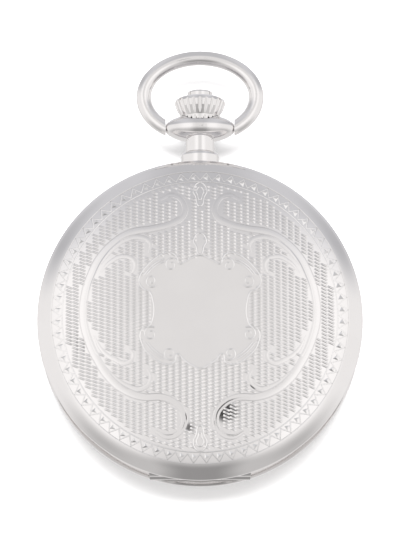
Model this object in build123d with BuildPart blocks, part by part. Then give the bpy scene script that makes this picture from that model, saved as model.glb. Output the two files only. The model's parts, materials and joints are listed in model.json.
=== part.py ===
from build123d import *
from math import atan2, cos, degrees, radians, sin, sqrt
import os

# Double-hunter pocket watch, lying on its back cover.
# +Z comes out of the front cover, +Y points to 12 o'clock (pendant and crown), -Y to the hinges.
# The origin is the centre of the flat on the back cover.

# ---- Driving dimensions, mm ----
movement_radius = 18.2          # pillar plate below its flange
flange_width = 0.6              # plate flange that seats in the case
case_clearance = 0.2            # movement to case, radial
band_wall = 4.6                 # case middle, bore to outside of the band
lip_overhang = 0.8              # cover lips beyond the band
band_height = 5.4               # seam to seam
cover_rise = 4.6                # seam to the flat of each cover
cover_wall = 0.8
cover_flat_radius = 9.0
cover_rim_drop = 1.4            # dome drop from the flat to the engraved border
shoulder_height = 2.7           # seam to the top of the rounded shoulder
shoulder_width = 2.3
lip_height = 1.0
shoulder_bulge = 0.25           # shoulder curve outside its chord
seam_gap = 0.05                 # cover lip to case middle

hinge_inset = 1.5               # hinge axis inside the lip's outside
hinge_drop = 0.8                # hinge axis below the seam
knuckle_radius = 0.7
hinge_pin_radius = 0.35
hinge_clearance = 0.03
knuckle_half_length = 7.4
cover_knuckle_half_length = 3.1
knuckle_gap = 0.06
hinge_slot_depth = 0.2          # slot floor below the knuckles

bezel_width = 2.2
bezel_height = 1.8
crystal_thickness = 0.7
crystal_seat = 0.95             # crystal underside above the seam

pendant_foot_radius = 2.55      # inside the cover lips
pendant_collar_radius = 2.82
pendant_collar_length = 3.0
pendant_neck_radius = 2.15
pendant_neck_length = 2.0
pendant_spigot_radius = 1.6
pendant_bore_radius = 0.8
olive_half_width = 5.35
olive_half_depth = 3.1
olive_half_length = 2.1
crown_recess_radius = 3.0       # recess in the olive that takes the crown's foot
crown_recess_height = 0.85      # floor of the recess above the olive's axis
crown_gap = 0.1
crown_base_radius = 2.7
crown_radius = 3.85
crown_height = 3.55
crown_flutes = 24
flute_radius = 0.30
cap_radius = 1.9
cap_edge = 0.3
cap_rise = 1.15                 # cap above the crown
cap_pocket = 1.3
cap_clearance = 0.05
cap_travel = 0.5

bow_half_width = 8.5            # centreline
bow_half_height = 6.05          # centreline
bow_rise = 4.9                  # olive axis to the middle of the bow
bow_wire_radius = 1.1
bow_foot_radius = 0.85
bow_foot_length = 0.6
bow_gap = 0.06                  # bow foot to olive
bow_pin_radius = 0.45
bow_pin_depth = 1.1

stem_radius = 0.5
stem_clearance = 0.05
winding_pinion_radius = 1.5
winding_pinion_length = 1.4
sliding_pinion_length = 1.1
stem_end_distance = 10.4        # stem's inner end from the case axis
latch_angle = 102
lift_angle = 246
lever_arm = 3.0
setting_travel = 1.0

# Depths below the dial seat, toward the back of the watch.
dial_seat_drop = 1.0            # front seam to the dial seat
dial_thickness = 0.4
plate_thickness = 1.2
flange_thickness = 0.6
bridge_depth = 3.8              # dial seat to the inner face of the bridges
bridge_thickness = 0.8
wheel_gap = 0.05                # bridge to the wheels lying on it
ratchet_thickness = 0.35
back_crystal_clearance = 0.35

# Train: modules, teeth and arbor places.
barrel_module = 0.18
center_module = 0.16
third_module = 0.14
fourth_module = 0.13
motion_module = 0.18
ratchet_module = 0.22
barrel_teeth, center_pinion_leaves = 78, 12
center_teeth, third_pinion_leaves = 80, 10
third_teeth, fourth_pinion_leaves = 75, 10
fourth_teeth, escape_pinion_leaves = 80, 8
cannon_leaves, minute_teeth, minute_leaves, hour_teeth = 10, 30, 8, 32
ratchet_teeth, crown_wheel_teeth = 42, 24
escape_teeth = 15
escape_radius = 2.6
balance_radius = 4.6
pivot_radius = 0.15
pivot_clearance = 0.04
arbor_radius = 0.3
wheel_thickness = 0.2
wheel_rim = 0.75
wheel_hub = 1.3
tooth_tip = 0.75                # addendum over module
tooth_root = 1.15               # dedendum over module


def level(depth):
    return dial_seat - depth


def polar(radius, degrees_from_x):
    angle = radians(degrees_from_x)
    return (radius * cos(angle), radius * sin(angle))


def step(start, distance, degrees_from_x):
    """The point a distance away from start, in a direction given in degrees."""
    x, y = polar(distance, degrees_from_x)
    return (start[0] + x, start[1] + y)


def bearing(start, end):
    return degrees(atan2(end[1] - start[1], end[0] - start[0]))


def pitch_distance(module, teeth, leaves):
    return module * (teeth + leaves) / 2


# ---- Places that follow from the driving dimensions ----
back_seam = cover_rise
front_seam = cover_rise + band_height
case_thickness = 2 * cover_rise + band_height
middle = case_thickness / 2
case_bore = movement_radius + case_clearance
flange_radius = movement_radius + flange_width
flange_bore = flange_radius + case_clearance / 2
band_radius = case_bore + band_wall + case_clearance
lip_radius = band_radius + lip_overhang
shoulder_radius = lip_radius - shoulder_width
engraved_radius = shoulder_radius - 1.5
hinge_y = -(lip_radius - hinge_inset)
front_hinge_z = front_seam - hinge_drop
back_hinge_z = back_seam + hinge_drop
slot_wall_y = hinge_y + knuckle_radius + 0.6
bezel_radius = flange_bore + bezel_width - 0.1
crystal_radius = bezel_radius - 0.6
dial_radius = flange_bore - 0.25
dial_seat = front_seam - dial_seat_drop
bridge_inner = level(bridge_depth)
bridge_outer = bridge_inner - bridge_thickness
wheel_top = bridge_outer - wheel_gap
wheel_bottom = wheel_top - ratchet_thickness
back_crystal_top = min(back_seam - crystal_seat, wheel_bottom - back_crystal_clearance)
pendant_seat = band_radius - 0.2
collar_end = pendant_seat + pendant_collar_length
olive_y = collar_end + pendant_neck_length + olive_half_length - 0.3
recess_floor_y = olive_y + crown_recess_height
crown_start = recess_floor_y + crown_gap
crown_end = crown_start + crown_height
cap_start = crown_end - cap_pocket + cap_travel + 0.1
bow_center_y = olive_y + bow_rise

center = (0.0, 0.0)
barrel = step(center, pitch_distance(barrel_module, barrel_teeth, center_pinion_leaves), 140)
third = step(center, pitch_distance(center_module, center_teeth, third_pinion_leaves), -48.7)
fourth_reach = pitch_distance(third_module, third_teeth, fourth_pinion_leaves)
fourth = (0.0, third[1] - sqrt(fourth_reach ** 2 - third[0] ** 2))
escape_reach = pitch_distance(fourth_module, fourth_teeth, escape_pinion_leaves)
escape = step(fourth, escape_reach, 210.1)
escape_to_balance = 134.9
pallet = step(escape, 3.0, escape_to_balance)
balance = step(escape, 7.44, escape_to_balance)
minute_post = (0.0, pitch_distance(motion_module, cannon_leaves, minute_teeth))
crown_wheel_reach = pitch_distance(ratchet_module, ratchet_teeth, crown_wheel_teeth)
crown_wheel_place = (0.0, barrel[1] + sqrt(crown_wheel_reach ** 2 - barrel[0] ** 2))
click_pivot = step(barrel, 6.7, 135)
cock_foot = (-15.2, -0.8)
pallet_foot = step(pallet, 3.4, escape_to_balance + 90)
winding_start = crown_wheel_place[1] + 2.0
sliding_start = winding_start + winding_pinion_length + 0.1
groove_y = sliding_start + sliding_pinion_length + 0.6
lever_swing = 2 * degrees(atan2(setting_travel / 2, lever_arm))
lever_pivot = (stem_radius + lever_arm - 0.1, groove_y + setting_travel / 2)
bridge_rim = movement_radius - 0.3
wall_inner = bridge_rim - 1.5

os.makedirs("parts", exist_ok=True)


def save(piece, label):
    piece.part.label = label
    export_step(piece.part, f"parts/{label}.step")


def tooth_outline(teeth, module, phase, tip=tooth_tip, root=tooth_root):
    """Corner points of a ring of plain trapezoid teeth, one tooth standing at the phase angle."""
    pitch_radius = module * teeth / 2
    outside = pitch_radius + tip * module
    inside = pitch_radius - root * module
    turn = 360 / teeth
    points = []
    for tooth in range(teeth):
        at = phase + tooth * turn
        points.append(polar(inside, at - 0.27 * turn))
        points.append(polar(outside, at - 0.11 * turn))
        points.append(polar(outside, at + 0.11 * turn))
        points.append(polar(inside, at + 0.27 * turn))
    return points


def disc(place, radius, bottom, top, mode=Mode.ADD):
    """A round boss or bore in the current part, from one height to another."""
    with Locations((place[0], place[1], min(bottom, top))):
        Cylinder(radius, abs(top - bottom), align=(Align.CENTER, Align.CENTER, Align.MIN), mode=mode)


def toothed_disc(place, teeth, module, phase, bottom, top):
    with BuildSketch(Plane((place[0], place[1], bottom))) as teeth_face:
        with BuildLine():
            Polyline(*tooth_outline(teeth, module, phase), close=True)
        make_face()
    extrude(teeth_face.sketch, amount=top - bottom)


def train_wheel(label, place, teeth, module, phase, bottom, bore, arms=4):
    """A crossed-out train wheel: toothed rim, arms, hub and bore."""
    rim_inside = module * teeth / 2 - tooth_root * module - wheel_rim
    with BuildPart() as wheel:
        with BuildSketch(Plane((place[0], place[1], bottom))):
            with BuildLine():
                Polyline(*tooth_outline(teeth, module, phase), close=True)
            make_face()
            Circle(rim_inside, mode=Mode.SUBTRACT)
            with PolarLocations(0, arms):
                Rectangle(rim_inside + wheel_rim / 2, 0.7, align=(Align.MIN, Align.CENTER))
            Circle(wheel_hub)
            Circle(bore, mode=Mode.SUBTRACT)
        extrude(amount=wheel_thickness)
    save(wheel, label)


def pinion(label, place, leaves, module, phase, leaf_z, shaft_z, pivot_z):
    """A pinion cut on its arbor, with a pivot at each end."""
    with BuildPart() as arbor:
        toothed_disc(place, leaves, module, phase, *leaf_z)
        disc(place, arbor_radius, *shaft_z)
        disc(place, pivot_radius, *pivot_z)
    save(arbor, label)


def spiral_outline(inner, outer, turns, thickness, start):
    """Both sides of a flat spiral strip, as one closed outline."""
    steps = int(turns * 24)
    outside, inside = [], []
    for i in range(steps + 1):
        share = i / steps
        radius = inner + (outer - inner) * share
        angle = start + 360 * turns * share
        outside.append(polar(radius + thickness / 2, angle))
        inside.append(polar(radius - thickness / 2, angle))
    return outside + inside[::-1]


def spiral_spring(label, place, inner, outer, turns, thickness, start, bottom, top):
    with BuildPart() as spring:
        with BuildSketch(Plane((place[0], place[1], bottom))):
            with BuildLine():
                Polyline(*spiral_outline(inner, outer, turns, thickness, start), close=True)
            make_face()
        extrude(amount=top - bottom)
    save(spring, label)


# ---- Case ----
with BuildPart() as case_middle:
    with BuildSketch(Plane.XZ):
        with BuildLine():
            side = Line((case_bore, back_seam), (band_radius - 0.25, back_seam))
            belly = ThreePointArc(side @ 1, (band_radius, middle), (band_radius - 0.25, front_seam))
            step_z = dial_seat - flange_thickness - 0.02
            Polyline(belly @ 1, (flange_bore, front_seam), (flange_bore, step_z), (case_bore, step_z),
                     side @ 0)
        make_face()
    revolve(axis=Axis.Z)
    slot_half = knuckle_half_length + 0.15
    slot_deep = hinge_drop + knuckle_radius + hinge_slot_depth
    for seam, up in ((front_seam, -1), (back_seam, 1)):
        with Locations((0, slot_wall_y, seam + up * slot_deep / 2)):
            Box(2 * slot_half, 4, slot_deep, align=(Align.CENTER, Align.MAX, Align.CENTER),
                mode=Mode.SUBTRACT)
    for hinge_z in (front_hinge_z, back_hinge_z):
        for way in (-1, 1):
            knuckle_in = way * (cover_knuckle_half_length + knuckle_gap)
            length = knuckle_half_length - cover_knuckle_half_length - knuckle_gap
            with BuildSketch(Plane((knuckle_in, 0, hinge_z), x_dir=(0, 1, 0), z_dir=(way, 0, 0))):
                with Locations((hinge_y, 0)):
                    Circle(knuckle_radius)
                    Rectangle(slot_wall_y - hinge_y + 0.1, 1.1, align=(Align.MIN, Align.CENTER))
                    Circle(hinge_pin_radius, mode=Mode.SUBTRACT)
            extrude(amount=length)
    with Locations((0, pendant_seat, middle)):
        Box(6, 2, band_height, align=(Align.CENTER, Align.MIN, Align.CENTER), mode=Mode.SUBTRACT)
    with BuildSketch(Plane((0, case_bore + 1.6, middle), z_dir=(0, 1, 0))):
        Circle(pendant_spigot_radius)
    extrude(amount=band_wall, mode=Mode.SUBTRACT)
    with BuildSketch(Plane((0, 0, middle), z_dir=(0, 1, 0))):
        Circle(pendant_bore_radius)
    extrude(amount=band_radius, mode=Mode.SUBTRACT)
    with BuildSketch(Plane.XY.offset(middle - 1.6)):
        Circle(case_bore + 1.2)
        Circle(case_bore - 1, mode=Mode.SUBTRACT)
        with BuildLine():
            Polyline((0, 0), polar(60, 100), polar(60, 170), polar(60, 200), polar(60, 262), close=True)
        make_face(mode=Mode.INTERSECT)
    extrude(amount=1.6, mode=Mode.SUBTRACT)
    for tab in (latch_angle, lift_angle):
        with BuildSketch(Plane.XY.offset(middle - 1.6)):
            with Locations(Rotation(0, 0, tab)):
                with Locations((case_bore - 0.2, 0)):
                    Rectangle(lip_radius - 2.1 - case_bore + 0.1, 1.6, align=(Align.MIN, Align.CENTER))
        extrude(amount=band_height, mode=Mode.SUBTRACT)
save(case_middle, "case_middle")


def cover(label, seam, way):
    """A domed cover with a rolled lip and the centre knuckle of its hinge; way is +1 at the front."""
    with BuildPart() as shell:
        def at(radius, height):
            return (radius, seam + way * height)

        wall = cover_wall
        border = cover_rise - cover_rim_drop
        with BuildSketch(Plane.XZ):
            with BuildLine():
                top = Line(at(0, cover_rise), at(cover_flat_radius, cover_rise))
                dome_mid = at((cover_flat_radius + engraved_radius) / 2,
                              cover_rise - 0.38 * cover_rim_drop)
                dome = ThreePointArc(top @ 1, dome_mid, at(engraved_radius, border))
                ledge = Line(dome @ 1, at(shoulder_radius, shoulder_height))
                run, fall = shoulder_width - 0.2, shoulder_height - lip_height
                reach = shoulder_bulge / sqrt(run ** 2 + fall ** 2)
                corner = (shoulder_radius + run / 2 + fall * reach, lip_height + fall / 2 + run * reach)
                shoulder = ThreePointArc(ledge @ 1, at(*corner), at(lip_radius - 0.2, lip_height))
                bead = ThreePointArc(shoulder @ 1, at(lip_radius, lip_height / 2),
                                     at(lip_radius - 0.2, seam_gap))
                Polyline(bead @ 1, at(shoulder_radius + 0.1, seam_gap), at(shoulder_radius + 0.1, 1.3),
                         at(shoulder_radius - 0.4, shoulder_height - wall),
                         at(engraved_radius, border - wall))
                inner_mid = (dome_mid[0], dome_mid[1] - way * wall)
                under = ThreePointArc(at(engraved_radius, border - wall), inner_mid,
                                      at(cover_flat_radius, cover_rise - wall))
                Polyline(under @ 1, at(0, cover_rise - wall), top @ 0)
            make_face()
        revolve(axis=Axis.Z)
        half = cover_knuckle_half_length
        with BuildSketch(Plane((-half, 0, 0), x_dir=(0, 1, 0), z_dir=(1, 0, 0))):
            with Locations((hinge_y, seam - way * hinge_drop)):
                Circle(knuckle_radius)
                Rectangle(0.9, 2 * (hinge_drop + 0.3))
                Circle(hinge_pin_radius + hinge_clearance, mode=Mode.SUBTRACT)
                with Locations((0, -way * (hinge_drop + 0.3))):
                    Rectangle(2, hinge_drop + 0.3 - 0.01, mode=Mode.SUBTRACT)
                Circle(knuckle_radius)
                Circle(hinge_pin_radius + hinge_clearance, mode=Mode.SUBTRACT)
        extrude(amount=2 * half)
    save(shell, label)


cover("front_cover", front_seam, 1)
cover("back_cover", back_seam, -1)

for label, hinge_z in (("front_hinge_pin", front_hinge_z), ("back_hinge_pin", back_hinge_z)):
    with BuildPart() as hinge_pin:
        with BuildSketch(Plane((-knuckle_half_length, hinge_y, hinge_z), z_dir=(1, 0, 0))):
            Circle(hinge_pin_radius)
        extrude(amount=2 * knuckle_half_length)
    save(hinge_pin, label)


def bezel(label, seam, way, snap, snap_depth, seat):
    """A snap-in bezel; seat is the height of the crystal's inner face off the seam."""
    with BuildPart() as ring:
        def at(radius, height):
            return (radius, seam + way * height)

        top = seat + crystal_thickness + 0.2
        with BuildSketch(Plane.XZ):
            with BuildLine():
                Polyline(at(snap - 0.4, -snap_depth), at(snap, -snap_depth), at(snap, 0),
                         at(bezel_radius, 0), at(bezel_radius, seat - 0.2), at(bezel_radius - 0.2, top - 0.1),
                         at(bezel_radius - 0.3, top), at(crystal_radius - 0.35, top),
                         at(crystal_radius - 0.35, seat + crystal_thickness),
                         at(crystal_radius, seat + crystal_thickness), at(crystal_radius, seat),
                         at(crystal_radius - 1.1, seat), at(snap - 0.4, seat - 0.6), close=True)
            make_face()
        revolve(axis=Axis.Z)
    save(ring, label)


back_seat = back_seam - back_crystal_top
bezel("front_bezel", front_seam, 1, flange_bore - 0.05, dial_seat_drop - dial_thickness - 0.05, crystal_seat)
bezel("back_bezel", back_seam, -1, case_bore - 0.05, 0.3, back_seat)

for label, bottom in (("front_crystal", front_seam + crystal_seat),
                      ("back_crystal", back_crystal_top - crystal_thickness)):
    with BuildPart() as crystal:
        disc(center, crystal_radius, bottom, bottom + crystal_thickness)
        fillet(crystal.edges().sort_by(Axis.Z)[0 if label == "back_crystal" else -1], 0.25)
    save(crystal, label)


def case_spring(label, tab, tail):
    """A flat spring let into the case wall, with a tab that rises beside the cover lip."""
    with BuildPart() as spring:
        with BuildSketch(Plane.XY.offset(middle - 1.4)):
            Circle(case_bore + 1.0)
            Circle(case_bore + 0.5, mode=Mode.SUBTRACT)
            with BuildLine():
                Polyline((0, 0), polar(60, tab), polar(60, (tab + tail) / 2), polar(60, tail), close=True)
            make_face(mode=Mode.INTERSECT)
            with Locations(Rotation(0, 0, tab)):
                with Locations((case_bore + 0.5, 0)):
                    Rectangle(lip_radius - 2.3 - case_bore - 0.5, 1.2, align=(Align.MIN, Align.CENTER))
        extrude(amount=1.2)
        with BuildSketch(Plane.XY.offset(middle - 1.4)):
            with Locations(Rotation(0, 0, tab)):
                with Locations((lip_radius - 2.3, 0)):
                    Rectangle(0.45, 1.2, align=(Align.MAX, Align.CENTER))
        extrude(amount=front_seam + 0.5 - middle + 1.4)
    save(spring, label)


case_spring("latch_spring", latch_angle, latch_angle + 58)
case_spring("lift_spring", lift_angle, lift_angle - 42)

# ---- Pendant, crown and bow ----
with BuildPart() as olive_turned:
    with BuildSketch(Plane.XY):
        with BuildLine():
            Line((-olive_half_width, 0), (olive_half_width, 0))
            EllipticalCenterArc((0, 0), olive_half_width, olive_half_length, start_angle=0, arc_size=180)
        make_face()
    revolve(axis=Axis.X)
olive = scale(olive_turned.part, by=(1, 1, olive_half_depth / olive_half_length))
olive_cheek = olive_half_width - 0.25
with BuildPart() as pendant:
    with BuildSketch(Plane.XY):
        spigot_start = case_bore + 1.6
        collar_start = lip_radius + 0.15
        collar_shoulder = collar_end - 0.9
        with BuildLine():
            Polyline((0, spigot_start), (pendant_spigot_radius, spigot_start),
                     (pendant_spigot_radius, pendant_seat), (pendant_foot_radius, pendant_seat),
                     (pendant_foot_radius, collar_start), (pendant_collar_radius, collar_start),
                     (pendant_collar_radius, collar_shoulder))
            ThreePointArc((pendant_collar_radius, collar_shoulder),
                          (pendant_collar_radius - 0.12, collar_end - 0.3), (pendant_neck_radius, collar_end))
            Polyline((pendant_neck_radius, collar_end), (pendant_neck_radius, olive_y), (0, olive_y),
                     (0, spigot_start))
        make_face()
    revolve(axis=Axis.Y)
    add(olive.moved(Location((0, olive_y, 0))))
    for way, side in ((-1, Align.MAX), (1, Align.MIN)):
        with Locations((way * olive_cheek, olive_y, 0)):
            Box(2, 6, 8, align=(side, Align.CENTER, Align.CENTER), mode=Mode.SUBTRACT)
    for start, radius, depth in ((recess_floor_y, crown_recess_radius, olive_half_length),
                                 (case_bore, pendant_bore_radius, recess_floor_y - case_bore + 0.1)):
        with BuildSketch(Plane((0, start, 0), z_dir=(0, 1, 0))):
            Circle(radius)
        extrude(amount=depth, mode=Mode.SUBTRACT)
    for way in (-1, 1):
        with BuildSketch(Plane((way * (olive_half_width - bow_pin_depth), olive_y, 0), z_dir=(way, 0, 0))):
            Circle(bow_pin_radius + stem_clearance)
        extrude(amount=3, mode=Mode.SUBTRACT)
pendant.part.locate(Location((0, 0, middle)))
save(pendant, "pendant")

pocket_radius = cap_radius + cap_clearance
pocket_floor = crown_height - cap_pocket
crown_profile = [
    (stem_radius + 0.05, 0), (crown_base_radius, 0), (crown_base_radius + 0.1, 0.2 * crown_height),
    (crown_radius - 0.3, 0.55 * crown_height), (crown_radius, 0.8 * crown_height),
    (crown_radius - 0.15, 0.92 * crown_height), (crown_radius - 0.6, crown_height),
    (pocket_radius, crown_height), (pocket_radius, pocket_floor), (stem_radius + 0.05, pocket_floor),
]
with BuildPart() as crown:
    with BuildSketch(Plane.XY):
        with BuildLine():
            Polyline(*[(radius, crown_start + along) for radius, along in crown_profile], close=True)
        make_face()
    revolve(axis=Axis.Y)
    lean = degrees(atan2(crown_radius - crown_base_radius, 0.8 * crown_height))
    flute_foot = crown_base_radius + 0.1
    for flute in range(crown_flutes):
        around = 360 * flute / crown_flutes
        out = (sin(radians(around)), 0, cos(radians(around)))
        foot = Vector(out[0] * flute_foot, crown_start - 0.15, out[2] * flute_foot)
        along = Vector(out[0] * sin(radians(lean)), cos(radians(lean)), out[2] * sin(radians(lean)))
        with BuildSketch(Plane(foot, z_dir=along)):
            Circle(flute_radius)
        extrude(amount=crown_height + 0.6, mode=Mode.SUBTRACT)
crown.part.locate(Location((0, 0, middle)))
save(crown, "crown")

with BuildPart() as crown_button:
    with BuildSketch(Plane((0, cap_start, middle), z_dir=(0, 1, 0))):
        Circle(cap_radius)
    extrude(amount=crown_end + cap_rise - cap_start)
    fillet(crown_button.edges().sort_by(Axis.Y)[-1], cap_edge)
save(crown_button, "crown_button")

with BuildPart() as bow:
    with BuildLine(Plane.XY.offset(middle)) as bow_line:
        EllipticalCenterArc((0, bow_center_y), bow_half_width, bow_half_height, start_angle=-62, arc_size=304)
    with BuildSketch(Plane(bow_line.line @ 0, z_dir=bow_line.line % 0)):
        Circle(bow_wire_radius)
    sweep()
    foot_x = olive_cheek + bow_gap
    with Locations((0, bow_center_y - bow_half_height, middle)):
        Box(2 * foot_x, 6, 4, mode=Mode.SUBTRACT)
    for way in (-1, 1):
        with BuildSketch(Plane((way * foot_x, olive_y, middle), z_dir=(way, 0, 0))):
            Circle(bow_foot_radius)
        extrude(amount=bow_foot_length)
    for way in (-1, 1):
        with BuildSketch(Plane((way * (foot_x - 1), olive_y, middle), z_dir=(way, 0, 0))):
            Circle(bow_pin_radius)
        extrude(amount=1 + bow_foot_length, mode=Mode.SUBTRACT)
save(bow, "bow")

with BuildPart() as bow_pins:
    for way in (-1, 1):
        pin_start = olive_half_width - bow_pin_depth + 0.05
        with BuildSketch(Plane((way * pin_start, olive_y, middle), z_dir=(way, 0, 0))):
            Circle(bow_pin_radius)
        extrude(amount=foot_x + bow_foot_length - pin_start)
save(bow_pins, "bow_pins")

with BuildPart() as stem:
    with BuildSketch(Plane.XY):
        with BuildLine():
            groove = stem_radius - 0.17
            Polyline((0, stem_end_distance), (stem_radius, stem_end_distance), (stem_radius, groove_y - 0.4),
                     (groove, groove_y - 0.4), (groove, groove_y + 0.4), (stem_radius, groove_y + 0.4),
                     (stem_radius, crown_start + 0.05), (stem_radius + 0.05, crown_start + 0.05),
                     (stem_radius + 0.05, crown_end - cap_pocket), (0, crown_end - cap_pocket), close=True)
        make_face()
    revolve(axis=Axis.Y)
stem.part.locate(Location((0, 0, middle)))
save(stem, "stem")


def keyless_pinion(label, start, length, radius, tooth_count):
    """A toothed sleeve on the stem, with shallow straight teeth round its outside."""
    with BuildPart() as sleeve:
        with BuildSketch(Plane((0, start, middle), z_dir=(0, 1, 0))):
            with BuildLine():
                pitch_module = 2 * radius / (tooth_count + 2 * tooth_tip)
                Polyline(*tooth_outline(tooth_count, pitch_module, 0), close=True)
            make_face()
            Circle(stem_radius + stem_clearance, mode=Mode.SUBTRACT)
        extrude(amount=length)
    save(sleeve, label)


keyless_pinion("winding_pinion", winding_start, winding_pinion_length, winding_pinion_radius, 15)
keyless_pinion("sliding_pinion", sliding_start, sliding_pinion_length, winding_pinion_radius - 0.3, 12)

with BuildPart() as setting_lever:
    lever_tilt = lever_swing / 2
    with BuildSketch(Plane((lever_pivot[0], lever_pivot[1], level(plate_thickness + 0.85)))):
        with Locations(Rotation(0, 0, 180 + lever_tilt)):
            Rectangle(lever_arm, 0.4, align=(Align.MIN, Align.CENTER))
        Circle(0.8)
        Circle(0.3, mode=Mode.SUBTRACT)
    extrude(amount=0.7)
save(setting_lever, "setting_lever")

# ---- Plate and bridges ----
plate_back = level(plate_thickness)
recess_floor = level(0.8)
plate_screws = [polar(wall_inner + 0.75, angle) for angle in (32, 68, 148, 296, 338)]
case_screw_places = [polar(wall_inner + 0.75, angle) for angle in (14, 166, 280)]
with BuildPart() as main_plate:
    disc(center, movement_radius, plate_back, dial_seat)
    disc(center, flange_radius, dial_seat - flange_thickness, dial_seat)
    disc(center, 3.4, recess_floor, dial_seat, Mode.SUBTRACT)
    disc(minute_post, 3.2, recess_floor, dial_seat, Mode.SUBTRACT)
    with Locations((0, winding_start - 0.3, dial_seat)):
        Box(3.4, winding_pinion_length + sliding_pinion_length + 0.7, 2 * plate_thickness + 1,
            align=(Align.CENTER, Align.MIN, Align.CENTER), mode=Mode.SUBTRACT)
    with Locations((0, stem_end_distance - 0.3, plate_back)):
        Box(1.5, flange_radius, 0.6, align=(Align.CENTER, Align.MIN, Align.CENTER), mode=Mode.SUBTRACT)
    disc(center, 0.42, plate_back, dial_seat, Mode.SUBTRACT)
    disc(fourth, 0.3, plate_back, dial_seat, Mode.SUBTRACT)
    disc(barrel, 0.66, plate_back, dial_seat, Mode.SUBTRACT)
    for place in (third, escape, pallet, balance):
        disc(place, 0.75, plate_back, level(0.3), Mode.SUBTRACT)
    for place in (*plate_screws, *case_screw_places, cock_foot, pallet_foot):
        disc(place, 0.38, plate_back, level(0.3), Mode.SUBTRACT)
    disc(minute_post, 0.2, recess_floor, level(0.12))
    disc(lever_pivot, 0.27, level(plate_thickness + 0.85), plate_back)
save(main_plate, "main_plate")

with BuildPart() as barrel_bridge:
    with BuildSketch(Plane.XY.offset(bridge_outer)):
        Circle(bridge_rim)
        with Locations((0, 1.4)):
            Rectangle(60, 60, align=(Align.CENTER, Align.MIN), mode=Mode.INTERSECT)
    extrude(amount=bridge_thickness)
    with BuildSketch(Plane.XY.offset(bridge_inner)):
        Circle(bridge_rim)
        Circle(wall_inner, mode=Mode.SUBTRACT)
        with Locations((0, 1.4)):
            Rectangle(60, 60, align=(Align.CENTER, Align.MIN), mode=Mode.INTERSECT)
        Rectangle(4.4, 60, mode=Mode.SUBTRACT)
    extrude(amount=plate_back - bridge_inner)
    disc(barrel, 0.86, bridge_outer, bridge_inner, Mode.SUBTRACT)
    disc(crown_wheel_place, 2.25, bridge_outer, bridge_inner, Mode.SUBTRACT)
    disc(click_pivot, 0.38, bridge_outer, bridge_inner, Mode.SUBTRACT)
    for place in (*plate_screws[:3], *case_screw_places[:2]):
        disc(place, 0.38, bridge_outer, plate_back, Mode.SUBTRACT)
    chamfer(barrel_bridge.faces().sort_by(Axis.Z)[0].outer_wire().edges(), 0.12)
save(barrel_bridge, "barrel_bridge")

with BuildPart() as train_bridge:
    for bottom, top, hollow in ((bridge_outer, bridge_inner, 0), (bridge_inner, plate_back, wall_inner)):
        with BuildSketch(Plane.XY.offset(bottom)):
            Circle(bridge_rim)
            if hollow:
                Circle(hollow, mode=Mode.SUBTRACT)
            with Locations((-7, 1.0)):
                Rectangle(60, 60, align=(Align.MIN, Align.MAX), mode=Mode.INTERSECT)
            with Locations(balance):
                Circle(balance_radius + 1.0, mode=Mode.SUBTRACT)
        extrude(amount=top - bottom)
    disc(center, 0.34, bridge_outer, bridge_inner, Mode.SUBTRACT)
    for place in (third, fourth, escape):
        disc(place, 0.75, bridge_outer, bridge_outer + 0.5, Mode.SUBTRACT)
        disc(place, 0.3, bridge_outer, bridge_inner, Mode.SUBTRACT)
    for place in (*plate_screws[3:], case_screw_places[2]):
        disc(place, 0.38, bridge_outer, plate_back, Mode.SUBTRACT)
    chamfer(train_bridge.faces().sort_by(Axis.Z)[0].outer_wire().edges(), 0.12)
save(train_bridge, "train_bridge")

cock_inner = bridge_outer + 0.5
with BuildPart() as balance_cock:
    with BuildSketch(Plane.XY.offset(bridge_outer)):
        with Locations(balance):
            Circle(1.5)
        with Locations(cock_foot):
            Circle(1.7)
        make_hull()
    extrude(amount=cock_inner - bridge_outer)
    disc(cock_foot, 1.7, bridge_outer, plate_back)
    disc(balance, 0.75, bridge_outer, cock_inner, Mode.SUBTRACT)
    disc(cock_foot, 0.38, bridge_outer, plate_back, Mode.SUBTRACT)
save(balance_cock, "balance_cock")

pallet_back = level(2.85)
with BuildPart() as pallet_bridge:
    with BuildSketch(Plane.XY.offset(pallet_back)):
        for place in (pallet, pallet_foot):
            with Locations(place):
                Circle(0.8)
        make_hull()
    extrude(amount=0.45)
    disc(pallet_foot, 0.8, pallet_back, plate_back)
    disc(pallet, pivot_radius + pivot_clearance, pallet_back, pallet_back + 0.45, Mode.SUBTRACT)
    disc(pallet_foot, 0.38, pallet_back, plate_back, Mode.SUBTRACT)
save(pallet_bridge, "pallet_bridge")


def screws(label, places, head_radius, head_height, seats, shank_radius=0.36):
    """Slotted screws; each seat is (back face under the head, inner end of the shank)."""
    with BuildPart() as group:
        for place, (seat, tip) in zip(places, seats):
            disc(place, head_radius, seat - head_height, seat)
            disc(place, shank_radius, seat, tip)
            with Locations((place[0], place[1], seat - head_height)):
                Box(2 * head_radius + 0.2, 0.22, 0.14, mode=Mode.SUBTRACT)
    save(group, label)


shank_end = level(0.35)
bridge_seats = [(bridge_outer, shank_end)] * 6
bridge_seats += [(pallet_back, shank_end), (wheel_bottom - 0.02, bridge_inner)]
screws("bridge_screws", [*plate_screws, cock_foot, pallet_foot, click_pivot], 0.68, 0.2, bridge_seats)
screws("case_screws", case_screw_places, 0.7, 0.22, [(bridge_outer, shank_end)] * 3)


def jewel_rings(label, places, bore):
    """Ring jewels; each place is (point, bottom, top)."""
    with BuildPart() as rings:
        for point, bottom, top in places:
            disc(point, 0.75, bottom, top)
        for point, bottom, top in places:
            disc(point, bore, bottom, top, Mode.SUBTRACT)
    save(rings, label)


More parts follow.
